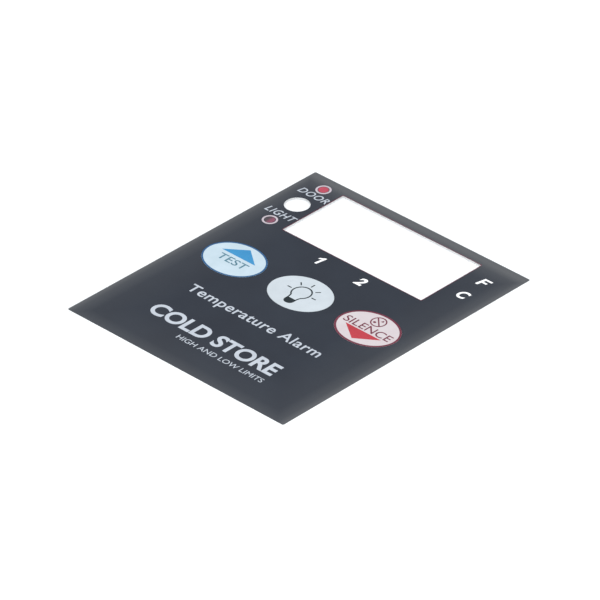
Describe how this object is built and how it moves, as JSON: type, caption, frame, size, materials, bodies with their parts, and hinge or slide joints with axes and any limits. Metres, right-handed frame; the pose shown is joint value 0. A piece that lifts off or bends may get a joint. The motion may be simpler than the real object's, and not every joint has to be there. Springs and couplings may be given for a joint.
{
  "type": "membrane keypad panel",
  "caption": "Flat self-adhesive membrane keypad panel with a display window, indicator windows and oval snap-dome push keys for an alarm monitor.",
  "frame": {"origin": "centre of the rear adhesive face, the face that is stuck to the alarm's door or case", "axes": "+X along a line of text, +Y towards the panel's top edge (the display end), +Z out of the printed face"},
  "size_m": [0.108, 0.13, 0.0007],
  "materials": {
    "black_printed_film": "fine velvet texture, satin black reverse print",
    "clear_film": "clear smooth polyester, unprinted",
    "red_window": "translucent red ink on polyester",
    "adhesive_film": "clear to milky transfer adhesive",
    "polyester_film": "milky heat-stabilised polyester",
    "silver_ink": "screen-printed silver ink, dull",
    "stainless_steel": "bright rolled stainless spring steel",
    "blue_white_key": "bluish white reverse print, satin",
    "white_key": "cool white reverse print, satin",
    "pink_white_key": "pinkish white reverse print, satin"
  },
  "bodies": {
    "panel": {"overlay_film": "black_printed_film", "display_window": "clear_film", "round_window": "clear_film", "door_led_window": "red_window", "light_led_window": "red_window", "overlay_adhesive": "adhesive_film", "key_spacer": "polyester_film", "dome_spacer": "polyester_film", "circuit_film": "polyester_film", "rear_adhesive": "adhesive_film", "common_trace": "silver_ink", "test_trace": "silver_ink", "light_trace": "silver_ink", "silence_trace": "silver_ink", "common_tail_pad": "silver_ink", "test_tail_pad": "silver_ink", "light_tail_pad": "silver_ink", "silence_tail_pad": "silver_ink", "test_dome": "stainless_steel", "light_dome": "stainless_steel", "silence_dome": "stainless_steel"},
    "test_key": {"test_key_face": "blue_white_key", "test_actuator": "polyester_film"},
    "light_key": {"light_key_face": "white_key", "light_actuator": "polyester_film"},
    "silence_key": {"silence_key_face": "pink_white_key", "silence_actuator": "polyester_film"}
  },
  "joints": [
    {"name": "test_key_press", "type": "slide", "parent": "panel", "child": "test_key", "axis": [0, 0, -1], "range_m": [0, 0.00017], "stiffness_N_per_m": 12000, "deforming": ["test_dome"]},
    {"name": "light_key_press", "type": "slide", "parent": "panel", "child": "light_key", "axis": [0, 0, -1], "range_m": [0, 0.00017], "stiffness_N_per_m": 12000, "deforming": ["light_dome"]},
    {"name": "silence_key_press", "type": "slide", "parent": "panel", "child": "silence_key", "axis": [0, 0, -1], "range_m": [0, 0.00017], "stiffness_N_per_m": 12000, "deforming": ["silence_dome"]}
  ]
}
